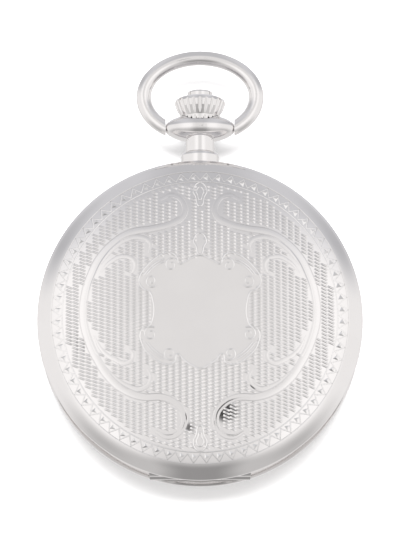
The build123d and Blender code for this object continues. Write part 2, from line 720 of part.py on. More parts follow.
jewel_bore = pivot_radius + pivot_clearance
jewel_height = 0.35
back_jewels = [(place, bridge_outer, bridge_outer + jewel_height)
               for place in (third, fourth, escape, balance)]
dial_side_jewels = [(place, plate_back, plate_back + jewel_height)
                    for place in (third, escape, pallet, balance)]
jewel_rings("jewels", back_jewels + dial_side_jewels, jewel_bore)

# ---- Power: barrel, ratchet and winding wheels ----
drum_back = level(3.25)
drum_front = level(1.38)
center_pinion_z = (level(1.95), level(1.35))
barrel_bearing = bearing(barrel, center)
with BuildPart() as barrel_drum:
    disc(barrel, 6.5, drum_back, drum_front)
    toothed_disc(barrel, barrel_teeth, barrel_module, barrel_bearing, drum_front - 0.45, drum_front)
    disc(barrel, 6.15, drum_back + 0.18, drum_front, Mode.SUBTRACT)
    disc(barrel, 0.86, drum_back, drum_front, Mode.SUBTRACT)
save(barrel_drum, "barrel_drum")
with BuildPart() as barrel_cover:
    disc(barrel, 6.15, drum_front - 0.22, drum_front)
    disc(barrel, 0.86, drum_front - 0.22, drum_front, Mode.SUBTRACT)
save(barrel_cover, "barrel_cover")
with BuildPart() as barrel_arbor:
    disc(barrel, 0.8, wheel_bottom, drum_front + 0.05)
    disc(barrel, 1.3, drum_back + 0.25, drum_front - 0.3)
    disc(barrel, 0.6, drum_front, level(0.6))
save(barrel_arbor, "barrel_arbor")
spiral_spring("mainspring", barrel, 1.75, 5.9, 9, 0.12, 20, drum_back + 0.3, drum_front - 0.35)

ratchet_mesh = bearing(barrel, crown_wheel_place)
with BuildPart() as ratchet_wheel:
    toothed_disc(barrel, ratchet_teeth, ratchet_module, ratchet_mesh, wheel_bottom, wheel_top)
    disc(barrel, 0.8, wheel_bottom, wheel_top, Mode.SUBTRACT)
save(ratchet_wheel, "ratchet_wheel")
with BuildPart() as ratchet_screw:
    disc(barrel, 1.3, wheel_bottom - 0.15, wheel_bottom)
    with Locations((barrel[0], barrel[1], wheel_bottom - 0.15)):
        Box(3, 0.28, 0.14, mode=Mode.SUBTRACT)
save(ratchet_screw, "ratchet_screw")

drum_end = middle - winding_pinion_radius - 0.12
crown_wheel_phase = ratchet_mesh + 180 + 180 / crown_wheel_teeth
with BuildPart() as crown_wheel:
    toothed_disc(crown_wheel_place, crown_wheel_teeth, ratchet_module, crown_wheel_phase,
                 wheel_bottom, wheel_top)
    disc(crown_wheel_place, 2.2, wheel_top, drum_end)
    for tooth in range(crown_wheel_teeth):
        with BuildSketch(Plane((crown_wheel_place[0], crown_wheel_place[1], drum_end))):
            with Locations(Rotation(0, 0, 360 * tooth / crown_wheel_teeth)):
                with Locations((1.6, 0)):
                    Rectangle(0.8, 0.26, align=(Align.MIN, Align.CENTER))
        extrude(amount=-0.3, mode=Mode.SUBTRACT)
save(crown_wheel, "crown_wheel")
with BuildPart() as crown_wheel_plate:
    bar_back = wheel_bottom - 0.05 - 0.22
    bar_ends = [step(crown_wheel_place, 3.5, ratchet_mesh + turn) for turn in (90, -90)]
    with BuildSketch(Plane.XY.offset(bar_back)):
        for place in bar_ends:
            with Locations(place):
                Circle(0.65)
        make_hull()
    extrude(amount=0.22)
    for place in bar_ends:
        disc(place, 0.55, bar_back, bridge_outer)
save(crown_wheel_plate, "crown_wheel_plate")

click_reach = ratchet_module * (ratchet_teeth / 2 + tooth_tip) + 0.08
with BuildPart() as click:
    with BuildSketch(Plane((click_pivot[0], click_pivot[1], wheel_bottom))):
        Circle(0.85)
        with Locations(Rotation(0, 0, bearing(click_pivot, barrel) + 6)):
            Rectangle(6.7 - click_reach - 0.05, 0.6, align=(Align.MIN, Align.CENTER))
        Circle(0.39, mode=Mode.SUBTRACT)
    extrude(amount=ratchet_thickness)
save(click, "click")
with BuildPart() as click_spring:
    spring_place = step(click_pivot, 1.7, 135)
    with BuildSketch(Plane((spring_place[0], spring_place[1], wheel_bottom + 0.05))):
        with Locations(Rotation(0, 0, 45)):
            Rectangle(4.4, 0.22)
            with Locations((2.2, 0)):
                Circle(0.5)
    extrude(amount=bridge_outer - wheel_bottom - 0.05)
save(click_spring, "click_spring")

# ---- Going train ----
center_mesh = bearing(center, third)
third_mesh = bearing(third, fourth)
fourth_mesh = bearing(fourth, escape)
center_wheel_z = bridge_inner + 0.2
with BuildPart() as center_pinion:
    toothed_disc(center, center_pinion_leaves, barrel_module,
                 barrel_bearing + 180 + 180 / center_pinion_leaves, *center_pinion_z)
    disc(center, 0.5, bridge_inner + 0.05, plate_back - 0.05)
    disc(center, 0.3, bridge_outer + 0.05, front_seam + 0.3)
save(center_pinion, "center_pinion")
train_wheel("center_wheel", center, center_teeth, center_module, center_mesh, center_wheel_z, 0.5, arms=5)
third_pinion_z = (center_wheel_z - 0.1, center_wheel_z + 0.5)
pivots = (bridge_outer + 0.1, plate_back + 0.3)
shafts = (bridge_inner + 0.05, plate_back - 0.05)
pinion("third_pinion", third, third_pinion_leaves, center_module,
       center_mesh + 180 + 180 / third_pinion_leaves, third_pinion_z, shafts, pivots)
train_wheel("third_wheel", third, third_teeth, third_module, third_mesh, level(2.4), arbor_radius)
pinion("fourth_pinion", fourth, fourth_pinion_leaves, third_module,
       third_mesh + 180 + 180 / fourth_pinion_leaves, (level(2.6), level(2.0)), shafts,
       (bridge_outer + 0.1, front_seam - 0.25))
train_wheel("fourth_wheel", fourth, fourth_teeth, fourth_module, fourth_mesh, level(2.95), arbor_radius)
pinion("escape_pinion", escape, escape_pinion_leaves, fourth_module,
       fourth_mesh + 180 + 180 / escape_pinion_leaves, (level(3.15), level(2.55)), shafts, pivots)

escape_z = level(2.1)
with BuildPart() as escape_wheel:
    with BuildSketch(Plane((escape[0], escape[1], escape_z))):
        with BuildLine():
            corners = []
            for tooth in range(escape_teeth):
                at = escape_to_balance + 12 + 360 * tooth / escape_teeth
                corners += [polar(2.0, at - 9), polar(2.05, at - 3), polar(escape_radius, at),
                            polar(escape_radius, at + 2), polar(2.0, at + 4)]
            Polyline(*corners, close=True)
        make_face()
        Circle(1.6, mode=Mode.SUBTRACT)
        with PolarLocations(0, 4):
            Rectangle(1.8, 0.35, align=(Align.MIN, Align.CENTER))
        Circle(0.65)
        Circle(arbor_radius, mode=Mode.SUBTRACT)
    extrude(amount=wheel_thickness)
save(escape_wheel, "escape_wheel")

# ---- Lever escapement ----
with BuildPart() as pallet_fork:
    with BuildSketch(Plane((pallet[0], pallet[1], level(2.15)))):
        Circle(0.55)
        with Locations(Rotation(0, 0, escape_to_balance)):
            Rectangle(3.5, 0.4, align=(Align.MIN, Align.CENTER))
            with Locations((3.3, 0)):
                Rectangle(0.8, 0.9)
            with Locations((3.6, 0)):
                Rectangle(0.6, 0.3, mode=Mode.SUBTRACT)
            with Locations((-0.15, 0)):
                Rectangle(0.5, 3.2)
    extrude(amount=0.2)
    disc(pallet, 0.2, pallet_back + 0.5, plate_back - 0.05)
    disc(pallet, pivot_radius, pallet_back, plate_back + 0.3)
save(pallet_fork, "pallet_fork")
with BuildPart() as pallet_stones:
    for way in (-1, 1):
        with BuildSketch(Plane((pallet[0], pallet[1], level(2.15)))):
            with Locations(Rotation(0, 0, escape_to_balance)):
                with Locations((-0.4, way * 1.4)):
                    Rectangle(0.28, 0.36, align=(Align.MAX, Align.CENTER))
        extrude(amount=0.2)
save(pallet_stones, "pallet_stones")

balance_back = bridge_inner + 0.2
with BuildPart() as balance_wheel:
    with BuildSketch(Plane((balance[0], balance[1], balance_back))):
        Circle(balance_radius)
        Circle(balance_radius - 0.6, mode=Mode.SUBTRACT)
        with Locations(Rotation(0, 0, 40)):
            Rectangle(2 * balance_radius - 0.6, 0.7)
        Circle(0.9)
        Circle(0.35, mode=Mode.SUBTRACT)
    extrude(amount=0.5)
save(balance_wheel, "balance_wheel")
with BuildPart() as balance_screws:
    for screw in range(14):
        around = 40 + 360 * (screw + 0.5) / 14
        out = polar(1, around)
        start = step(balance, balance_radius - 0.06, around)
        with BuildSketch(Plane((start[0], start[1], balance_back + 0.25), z_dir=(out[0], out[1], 0))):
            Circle(0.22)
        extrude(amount=0.41)
save(balance_screws, "balance_screws")
with BuildPart() as balance_staff:
    disc(balance, 0.35, cock_inner + 0.05, plate_back - 0.05)
    disc(balance, 0.6, balance_back + 0.5, balance_back + 0.8)
    disc(balance, 1.0, level(2.5), level(2.32))
    disc(balance, pivot_radius, bridge_outer + 0.1, plate_back + 0.3)
save(balance_staff, "balance_staff")
spiral_spring("hairspring", balance, 0.6, 2.6, 6, 0.08, 200, cock_inner + 0.08, cock_inner + 0.3)
with BuildPart() as regulator:
    with BuildSketch(Plane((balance[0], balance[1], bridge_outer - 0.2))):
        Circle(1.25)
        with Locations(Rotation(0, 0, bearing(balance, cock_foot) - 60)):
            Rectangle(4.2, 0.5, align=(Align.MIN, Align.CENTER))
        Circle(0.8, mode=Mode.SUBTRACT)
    extrude(amount=0.18)
save(regulator, "regulator")

# ---- Motion work, dial and hands ----
motion_mesh = bearing(center, minute_post)
with BuildPart() as cannon_pinion:
    toothed_disc(center, cannon_leaves, motion_module, motion_mesh, level(0.76), level(0.46))
    disc(center, 0.48, level(0.76), front_seam + 0.05)
    disc(center, 0.3, level(0.76), front_seam + 0.05, Mode.SUBTRACT)
save(cannon_pinion, "cannon_pinion")
with BuildPart() as minute_wheel:
    toothed_disc(minute_post, minute_teeth, motion_module, motion_mesh + 180 + 180 / minute_teeth,
                 level(0.74), level(0.52))
    toothed_disc(minute_post, minute_leaves, motion_module, -90, level(0.52), level(0.18))
    disc(minute_post, 0.25, level(0.74), level(0.18), Mode.SUBTRACT)
save(minute_wheel, "minute_wheel")
with BuildPart() as hour_wheel:
    toothed_disc(center, hour_teeth, motion_module, motion_mesh + 180 / hour_teeth, level(0.42), level(0.2))
    disc(center, 0.8, level(0.42), front_seam - 0.15)
    disc(center, 0.54, level(0.42), front_seam - 0.15, Mode.SUBTRACT)
save(hour_wheel, "hour_wheel")

dial_top = dial_seat + dial_thickness
with BuildPart() as dial:
    disc(center, dial_radius, dial_seat, dial_top)
    disc(fourth, 4.6, dial_top - 0.12, dial_top, Mode.SUBTRACT)
    disc(center, 0.95, dial_seat, dial_top, Mode.SUBTRACT)
    disc(fourth, 0.35, dial_seat, dial_top, Mode.SUBTRACT)
save(dial, "dial")

def hand(label, place, bottom, height, length, tail, width, hub, bore, direction):
    """A plain tapering hand; the hour at which it stands is set by its direction."""
    with BuildPart() as pointer:
        with BuildSketch(Plane((place[0], place[1], bottom))):
            with BuildLine():
                tip_at = polar(length, direction)
                Polyline(polar(tail, direction + 180), polar(width / 2, direction - 90), tip_at,
                         polar(width / 2, direction + 90), close=True)
            make_face()
            Circle(hub)
            Circle(bore, mode=Mode.SUBTRACT)
        extrude(amount=height)
    save(pointer, label)


hand("hour_hand", center, front_seam - 0.3, 0.15, 9.4, 1.6, 1.1, 1.25, 0.8, 90 - 305)
hand("minute_hand", center, front_seam + 0.08, 0.15, 14.2, 2.2, 0.9, 0.9, 0.3, 90 - 60)
hand("seconds_hand", fourth, dial_top + 0.2, 0.1, 3.9, 1.4, 0.5, 0.45, pivot_radius, 90 - 210)
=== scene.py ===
import json
import math
import bmesh
import bpy
from mathutils import Matrix, Vector, kdtree


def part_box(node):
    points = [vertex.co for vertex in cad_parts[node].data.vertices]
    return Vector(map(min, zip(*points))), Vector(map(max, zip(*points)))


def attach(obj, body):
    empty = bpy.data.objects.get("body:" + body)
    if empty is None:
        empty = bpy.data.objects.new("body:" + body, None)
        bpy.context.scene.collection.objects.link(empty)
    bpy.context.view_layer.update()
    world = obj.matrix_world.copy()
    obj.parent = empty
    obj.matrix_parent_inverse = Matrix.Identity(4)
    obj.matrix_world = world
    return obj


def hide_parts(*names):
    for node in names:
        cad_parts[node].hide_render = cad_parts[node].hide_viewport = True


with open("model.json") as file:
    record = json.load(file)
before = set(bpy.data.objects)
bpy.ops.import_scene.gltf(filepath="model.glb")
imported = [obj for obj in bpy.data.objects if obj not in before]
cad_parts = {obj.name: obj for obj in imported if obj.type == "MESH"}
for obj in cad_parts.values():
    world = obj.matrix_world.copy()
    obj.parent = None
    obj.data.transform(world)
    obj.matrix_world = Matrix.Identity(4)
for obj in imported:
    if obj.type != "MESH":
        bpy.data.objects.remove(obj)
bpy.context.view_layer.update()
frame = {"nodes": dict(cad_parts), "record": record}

mm = 0.001
bumpDistance = 0.00005          # metres of relief at full strength
nodes = frame["nodes"]


class Wire:
    # a node socket that can be added, multiplied and compared like a number
    def __init__(self, tree, socket):
        self.tree = tree
        self.socket = socket

    def math(self, operation, other=0.0):
        made = self.tree.nodes.new("ShaderNodeMath")
        made.operation = operation
        for index, value in enumerate((self, other)):
            if isinstance(value, Wire):
                self.tree.links.new(value.socket, made.inputs[index])
            else:
                made.inputs[index].default_value = value
        return Wire(self.tree, made.outputs[0])

    def __add__(self, other):
        return self.math("ADD", other)

    def __radd__(self, other):
        return self.math("ADD", other)

    def __mul__(self, other):
        return self.math("MULTIPLY", other)

    def __rmul__(self, other):
        return self.math("MULTIPLY", other)

    def __sub__(self, other):
        return self.math("SUBTRACT", other)

    def __rsub__(self, other):
        return (self * -1.0) + other

    def sine(self):
        return self.math("SINE")

    def root(self):
        return self.math("SQRT")

    def above(self, edge):
        return self.math("GREATER_THAN", edge)

    def ramp(self, low, high):
        # 0 at low, 1 at high, smooth between
        return self.node("ShaderNodeMapRange", {"interpolation_type": "SMOOTHSTEP"},
                         {"Value": self, "From Min": low, "From Max": high})

    def node(self, kind, settings=None, values=None, output=0):
        made = self.tree.nodes.new(kind)
        for key, value in (settings or {}).items():
            setattr(made, key, value)
        for key, value in (values or {}).items():
            if isinstance(value, Wire):
                self.tree.links.new(value.socket, made.inputs[key])
            else:
                made.inputs[key].default_value = value
        return Wire(self.tree, made.outputs[output])


def newMaterial(name):
    made = bpy.data.materials.new(name)
    made.use_nodes = True
    tree = made.node_tree
    shader = tree.nodes["Principled BSDF"]
    start = Wire(tree, shader.outputs[0])
    place = start.node("ShaderNodeTexCoord", output=3)
    return made, tree, shader, start, place


def feed(tree, shader, socket, value):
    if isinstance(value, Wire):
        tree.links.new(value.socket, shader.inputs[socket])
    else:
        shader.inputs[socket].default_value = value


def mixColour(start, factor, dark, light):
    return start.node("ShaderNodeMix", {"data_type": "RGBA"}, {0: factor, 6: dark, 7: light}, output=2)


def metal(name, settings):
    # a metal with its own colour, small scratches, tarnish in patches and a little roughness change
    made, tree, shader, start, place = newMaterial(name)
    patches = start.node("ShaderNodeTexNoise", None,
                         {"Vector": place, "Scale": settings["patchScale"], "Detail": 3.0})
    stretched = start.node("ShaderNodeMapping", None,
                           {"Vector": place, "Scale": settings.get("grain", (1.0, 1.0, 1.0))})
    scratches = start.node("ShaderNodeTexNoise", None,
                           {"Vector": stretched, "Scale": settings["scratchScale"], "Detail": 5.0})
    low, high = settings["colour"], settings["brightColour"]
    feed(tree, shader, "Base Color", mixColour(start, patches.ramp(0.35, 0.65), (*low, 1), (*high, 1)))
    change = settings["roughChange"]
    roughness = patches * change + scratches * change + settings["roughness"]
    feed(tree, shader, "Roughness", roughness)
    feed(tree, shader, "Metallic", 1.0)
    height = scratches * settings["scratchDepth"]
    if "stripes" in settings:
        # straight-grained waves across a bridge
        along = start.node("ShaderNodeSeparateXYZ", None, {"Vector": place})
        across = start.node("ShaderNodeSeparateXYZ", None, {"Vector": place}, output=1)
        wave = along * 0.8 + across * 0.6
        height = height + (wave * settings["stripes"]).sine() * settings["stripeDepth"]
    bump = start.node("ShaderNodeBump", None,
                      {"Height": height, "Strength": settings["bump"], "Distance": bumpDistance})
    feed(tree, shader, "Normal", bump)
    return made


finishes = {
    "polishedSilver": metal("polishedSilver", {
        "colour": (0.845, 0.83, 0.825), "brightColour": (0.86, 0.845, 0.84), "patchScale": 180.0,
        "scratchScale": 2600.0, "grain": (1.0, 0.25, 1.0), "roughness": 0.045, "roughChange": 0.015,
        "scratchDepth": 0.2, "bump": 0.05}),
    "engravedSilver": metal("engravedSilver", {
        "colour": (0.80, 0.785, 0.78), "brightColour": (0.83, 0.815, 0.81), "patchScale": 220.0,
        "scratchScale": 3000.0, "roughness": 0.10, "roughChange": 0.04, "scratchDepth": 0.3, "bump": 0.12}),
    # a lighter copy of the polished silver for raised lines: its extra brightness is a painted highlight
    "paintedHighlightSilver": metal("paintedHighlightSilver", {
        "colour": (0.89, 0.88, 0.875), "brightColour": (0.93, 0.92, 0.915), "patchScale": 300.0,
        "scratchScale": 2500.0, "roughness": 0.09, "roughChange": 0.03, "scratchDepth": 0.2, "bump": 0.06}),
    "nickelPlate": metal("nickelPlate", {
        "colour": (0.62, 0.60, 0.56), "brightColour": (0.74, 0.72, 0.68), "patchScale": 250.0,
        "scratchScale": 4000.0, "roughness": 0.22, "roughChange": 0.08, "scratchDepth": 0.3,
        "stripes": 5200.0, "stripeDepth": 1.0, "bump": 0.35}),
    "giltBrass": metal("giltBrass", {
        "colour": (0.72, 0.50, 0.20), "brightColour": (0.86, 0.64, 0.30), "patchScale": 300.0,
        "scratchScale": 4000.0, "roughness": 0.22, "roughChange": 0.08, "scratchDepth": 0.4,
        "bump": 0.2}),
    "wheelSteel": metal("wheelSteel", {
        "colour": (0.50, 0.50, 0.52), "brightColour": (0.66, 0.66, 0.67), "patchScale": 300.0,
        "scratchScale": 4200.0, "roughness": 0.18, "roughChange": 0.08, "scratchDepth": 0.4,
        "bump": 0.25}),
    "springSteel": metal("springSteel", {
        "colour": (0.40, 0.41, 0.44), "brightColour": (0.55, 0.56, 0.58), "patchScale": 300.0,
        "scratchScale": 4000.0, "grain": (0.2, 1.0, 1.0), "roughness": 0.28, "roughChange": 0.08,
        "scratchDepth": 0.5, "bump": 0.2}),
    "bluedSteel": metal("bluedSteel", {
        "colour": (0.02, 0.045, 0.20), "brightColour": (0.05, 0.09, 0.36), "patchScale": 400.0,
        "scratchScale": 3000.0, "roughness": 0.18, "roughChange": 0.06, "scratchDepth": 0.3, "bump": 0.1}),
}


def glassFinish():
    made, tree, shader, start, place = newMaterial("crystalGlass")
    shader.inputs["Base Color"].default_value = (0.97, 0.98, 0.98, 1)
    shader.inputs["Transmission Weight"].default_value = 1.0
    shader.inputs["IOR"].default_value = 1.45
    smears = start.node("ShaderNodeTexNoise", None, {"Vector": place, "Scale": 120.0, "Detail": 4.0})
    feed(tree, shader, "Roughness", smears.ramp(0.55, 0.75) * 0.05)
    return made


def rubyFinish():
    made, tree, shader, start, place = newMaterial("ruby")
    cloud = start.node("ShaderNodeTexNoise", None, {"Vector": place, "Scale": 900.0, "Detail": 2.0})
    feed(tree, shader, "Base Color", mixColour(start, cloud, (0.42, 0.01, 0.05, 1), (0.75, 0.05, 0.16, 1)))
    feed(tree, shader, "Roughness", cloud * 0.05 + 0.06)
    shader.inputs["Coat Weight"].default_value = 0.6
    return made


def enamelFinish():
    made, tree, shader, start, place = newMaterial("dialEnamel")
    cloud = start.node("ShaderNodeTexNoise", None, {"Vector": place, "Scale": 240.0, "Detail": 4.0})
    feed(tree, shader, "Base Color", mixColour(start, cloud, (0.84, 0.83, 0.78, 1), (0.93, 0.92, 0.88, 1)))
    feed(tree, shader, "Roughness", cloud * 0.08 + 0.16)
    bump = start.node("ShaderNodeBump", None, {"Height": cloud, "Strength": 0.06, "Distance": bumpDistance})
    feed(tree, shader, "Normal", bump)
    return made


def printFinish():
    made, tree, shader, start, place = newMaterial("dialPrint")
    cloud = start.node("ShaderNodeTexNoise", None, {"Vector": place, "Scale": 2000.0, "Detail": 2.0})
    colour = mixColour(start, cloud, (0.012, 0.012, 0.015, 1), (0.035, 0.035, 0.04, 1))
    feed(tree, shader, "Base Color", colour)
    feed(tree, shader, "Roughness", cloud * 0.1 + 0.35)
    return made


finishes["glass"] = glassFinish()
finishes["ruby"] = rubyFinish()
finishes["enamel"] = enamelFinish()
finishes["print"] = printFinish()
print("finishes made")

# making pieces


def finishPiece(name, mesh, body, finish, smooth=True, stands=()):
    mesh.materials.clear()
    mesh.materials.append(finishes[finish])
    for face in mesh.polygons:
        face.use_smooth = smooth
    piece = bpy.data.objects.new(name, mesh)
    bpy.context.scene.collection.objects.link(piece)
    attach(piece, body)
    if stands:
        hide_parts(*stands)
    return piece


def fromBmesh(name, bm, body, finish, smooth=True, stands=(), sharp=None):
    bmesh.ops.remove_doubles(bm, verts=bm.verts, dist=1e-7)
    bmesh.ops.recalc_face_normals(bm, faces=bm.faces)
    mesh = bpy.data.meshes.new(name)
    bm.to_mesh(mesh)
    bm.free()
    if sharp:
        mesh.set_sharp_from_angle(angle=math.radians(sharp))
    return finishPiece(name, mesh, body, finish, smooth, stands)


def spinOutline(bm, outline, steps, place=Matrix.Identity(4), closed=True):
    # outline holds (radius, height) in millimetres round the local Z axis
    start = [bm.verts.new((radius * mm, 0, height * mm)) for radius, height in outline]
    ends = zip(start, start[1:] + start[:1]) if closed else zip(start, start[1:])
    edges = [bm.edges.new(pair) for pair in ends]
    bmesh.ops.spin(bm, geom=start + edges, cent=(0, 0, 0), axis=(0, 0, 1),
                   angle=2 * math.pi, steps=steps, use_merge=True)
    # points already placed carry a tag
    fresh = [v for v in bm.verts if not v.tag]
    bmesh.ops.remove_doubles(bm, verts=fresh, dist=2e-6)
    fresh = [v for v in bm.verts if not v.tag]
    bmesh.ops.transform(bm, matrix=place, verts=fresh)
    for v in fresh:
        v.tag = True


def arcThrough(first, middle, last, steps):
    # points of the round stretch through three points, first point left out
    ax, ay = first
    bx, by = middle
    cx, cy = last
    d = 2 * (ax * (by - cy) + bx * (cy - ay) + cx * (ay - by))
    a, b, c = ax**2 + ay**2, bx**2 + by**2, cx**2 + cy**2
    ux = (a * (by - cy) + b * (cy - ay) + c * (ay - by)) / d
    uy = (a * (cx - bx) + b * (ax - cx) + c * (bx - ax)) / d
    radius = math.hypot(ax - ux, ay - uy)
    start = math.atan2(ay - uy, ax - ux)
    turn = (math.atan2(cy - uy, cx - ux) - start + math.pi) % (2 * math.pi) - math.pi
    angles = [start + turn * i / steps for i in range(1, steps + 1)]
    return [(ux + radius * math.cos(angle), uy + radius * math.sin(angle)) for angle in angles]


# covers
low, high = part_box("front_cover")
middleLow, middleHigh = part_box("case_middle")
cover = {
    "lipRadius": high[0] / mm,
    "rise": (high[2] - middleHigh[2]) / mm - 0.12,  # leaves room for the engraving
    "frontSeam": middleHigh[2] / mm,
    "backSeam": middleLow[2] / mm,
    "wall": 0.8,
    "flatRadius": 9.0,
    "borderRadius": 20.2,
    "borderDrop": 1.4,
    "domeShare": 0.38,              # of that drop, gone halfway out
    "shoulderWidth": 2.3,
    "shoulderHeight": 2.7,
    "shoulderBulge": 0.25,
    "lipHeight": 1.0,
    "seamGap": 0.05,
    "turns": 192,
    "flatPoints": (0.0, 3.0, 6.0),  # rings on the flat middle
    "domeSteps": 14,
    "shoulderSteps": 14,
    "lipSteps": 8,
    "innerSteps": 10,
    "innerLip": 1.3,
    "lipInset": 0.2,
}
cover["shoulderRadius"] = cover["lipRadius"] - cover["shoulderWidth"]


def coverOutline():
    # (radius, height above the seam) of the shell, outside first
    c = cover
    top = c["rise"]
    border = (c["borderRadius"], top - c["borderDrop"])
    shoulder = (c["shoulderRadius"], c["shoulderHeight"])
    halfway = ((c["flatRadius"] + c["borderRadius"]) / 2, top - c["domeShare"] * c["borderDrop"])
    lip = c["lipRadius"]
    points = [(radius, top) for radius in (*c["flatPoints"], c["flatRadius"])]
    points += arcThrough((c["flatRadius"], top), halfway, border, c["domeSteps"])
    points += [shoulder]
    run, fall = c["shoulderWidth"] - c["lipInset"], c["shoulderHeight"] - c["lipHeight"]
    reach = c["shoulderBulge"] / math.hypot(run, fall)
    corner = (shoulder[0] + run / 2 + fall * reach, c["lipHeight"] + fall / 2 + run * reach)
    lipTop, lipFoot = (lip - c["lipInset"], c["lipHeight"]), (lip - c["lipInset"], c["seamGap"])
    points += arcThrough(shoulder, corner, lipTop, c["shoulderSteps"])
    points += arcThrough(lipTop, (lip, c["lipHeight"] / 2), lipFoot, c["lipSteps"])
    inside = c["shoulderRadius"] + 0.1
    innerBorder = (border[0], border[1] - c["wall"])
    points += [(inside, c["seamGap"]), (inside, c["innerLip"]),
               (c["shoulderRadius"] - c["wall"] / 2, c["shoulderHeight"] - c["wall"]), innerBorder]
    points += arcThrough(innerBorder, (halfway[0], halfway[1] - c["wall"]),
                         (c["flatRadius"], top - c["wall"]), c["innerSteps"])
    points += [(0.0, top - c["wall"])]
    return points


outline = coverOutline()
face = outline[:len(cover["flatPoints"]) + 1 + cover["domeSteps"] + 1]   # the part seen from outside


def surfaceHeight(radius):
    # height of the cover's outside above its seam
    for (r0, h0), (r1, h1) in zip(face, face[1:]):
        if radius <= r1:
            return h0 + (h1 - h0) * (radius - r0) / (r1 - r0)
    return face[-1][1]


hinge = {
    "inset": 1.5,
    "drop": 0.8,
    "radius": 0.7,
    "bore": 0.38,
    "halfLength": 3.1,
    "turns": 40,
    "webDepth": 0.9,
    "webHeight": 0.62,
    "webLift": 0.02,
}
hingeY = -(cover["lipRadius"] - hinge["inset"])


def makeCover(name, body, seam, way):
    bm = bmesh.new()
    flip = Matrix.Translation((0, 0, seam * mm)) @ Matrix.Diagonal((1, 1, way, 1))
    spinOutline(bm, outline, cover["turns"], flip, closed=False)
    half = hinge["halfLength"]
    ring = [(hinge["bore"], -half), (hinge["radius"], -half), (hinge["radius"], half), (hinge["bore"], half)]
    centre = Matrix.Translation((0, hingeY * mm, (seam - way * hinge["drop"]) * mm))
    spinOutline(bm, ring, hinge["turns"], centre @ Matrix.Rotation(math.pi / 2, 4, "Y"))
    web = bmesh.ops.create_cube(bm, size=1.0)["verts"]
    size = Matrix.Diagonal((2 * half * mm, hinge["webDepth"] * mm, hinge["webHeight"] * mm, 1))
    middle = Matrix.Translation((0, hingeY * mm, (seam - way * hinge["webLift"]) * mm))
    bmesh.ops.transform(bm, verts=web, matrix=middle @ size)
    stands = [body.replace("_body", "")]
    fromBmesh(name, bm, body, "polishedSilver", stands=stands, sharp=38)


makeCover("frontCover", "front_cover_body", cover["frontSeam"], 1)
makeCover("backCover", "back_cover_body", cover["backSeam"], -1)
print("covers made")

# engraving on a cover
# the left half of each figure, in millimetres from the case axis; the right half is its mirror image
scrolls = {
    "main": {"width": 0.62, "taper": 0.35, "points": [
        (-5.9, 17.4), (-4.2, 18.1), (-2.5, 17.0), (-2.4, 15.0), (-4.1, 13.7), (-7.0, 12.9), (-10.0, 12.4),
        (-12.2, 11.2), (-14.4, 9.0), (-15.9, 6.2), (-16.9, 2.9), (-17.1, -0.4), (-16.3, -3.9), (-14.9, -6.9),
        (-13.2, -9.4), (-11.0, -11.2), (-8.3, -12.2), (-5.4, -12.3), (-3.4, -13.3), (-2.3, -15.1),
        (-2.8, -17.1), (-4.6, -18.0), (-6.4, -17.2)]},
    "upperFrond": {"width": 0.42, "taper": 0.15, "points": [
        (-14.6, 7.5), (-12.7, 9.9), (-10.8, 11.3), (-8.8, 11.6), (-7.3, 10.7), (-7.6, 9.1)]},
    "lowerUpperFrond": {"width": 0.36, "taper": 0.15, "points": [
        (-14.7, 6.2), (-13.1, 7.9), (-11.1, 8.7), (-9.6, 7.9), (-9.7, 6.5), (-10.3, 6.0)]},
    "upperLowerFrond": {"width": 0.36, "taper": 0.15, "points": [
        (-15.5, -3.0), (-14.3, -5.3), (-12.4, -6.7), (-10.6, -7.2), (-9.7, -6.1), (-10.5, -5.0)]},
    "lowerFrond": {"width": 0.42, "taper": 0.15, "points": [
        (-14.6, -6.9), (-12.7, -9.1), (-10.6, -10.6), (-8.5, -11.0), (-7.1, -9.5), (-7.7, -8.1)]},
}
shield = [
    (0, 8.75), (-0.9, 8.5), (-2.0, 7.9), (-3.05, 7.55), (-3.35, 8.4), (-4.2, 9.15), (-5.4, 9.0), (-6.6, 8.3),
    (-7.6, 7.4), (-8.5, 6.3), (-8.95, 5.2), (-8.7, 4.2), (-8.1, 3.6), (-7.4, 3.3), (-6.95, 2.1), (-6.75, 0.7),
    (-6.88, -0.6), (-7.4, -1.75), (-8.3, -2.1), (-8.75, -3.1), (-8.55, -4.2), (-8.0, -5.3), (-6.8, -6.5),
    (-5.4, -7.4), (-4.3, -7.5), (-3.6, -6.9), (-3.3, -5.95), (-2.4, -6.75), (-1.2, -7.6), (0, -8.1)]
voluteList = [(-4.2, 7.35, 1.05, 30, 1), (-7.1, 4.95, 1.0, 320, -1), (-7.2, -2.95, 1.1, 60, 1),
              (-4.4, -5.85, 1.05, 330, -1)]
cornerLines = [
    [(-8.2, 5.85), (-7.3, 6.95), (-6.2, 7.8), (-5.2, 8.2)],
    [(-7.8, 5.9), (-7.0, 6.8), (-6.1, 7.45), (-5.2, 7.8)],
    [(-8.0, -4.3), (-7.2, -5.3), (-6.2, -6.2), (-5.3, -6.75)],
    [(-7.6, -4.3), (-6.9, -5.1), (-6.1, -5.8), (-5.3, -6.35)]]
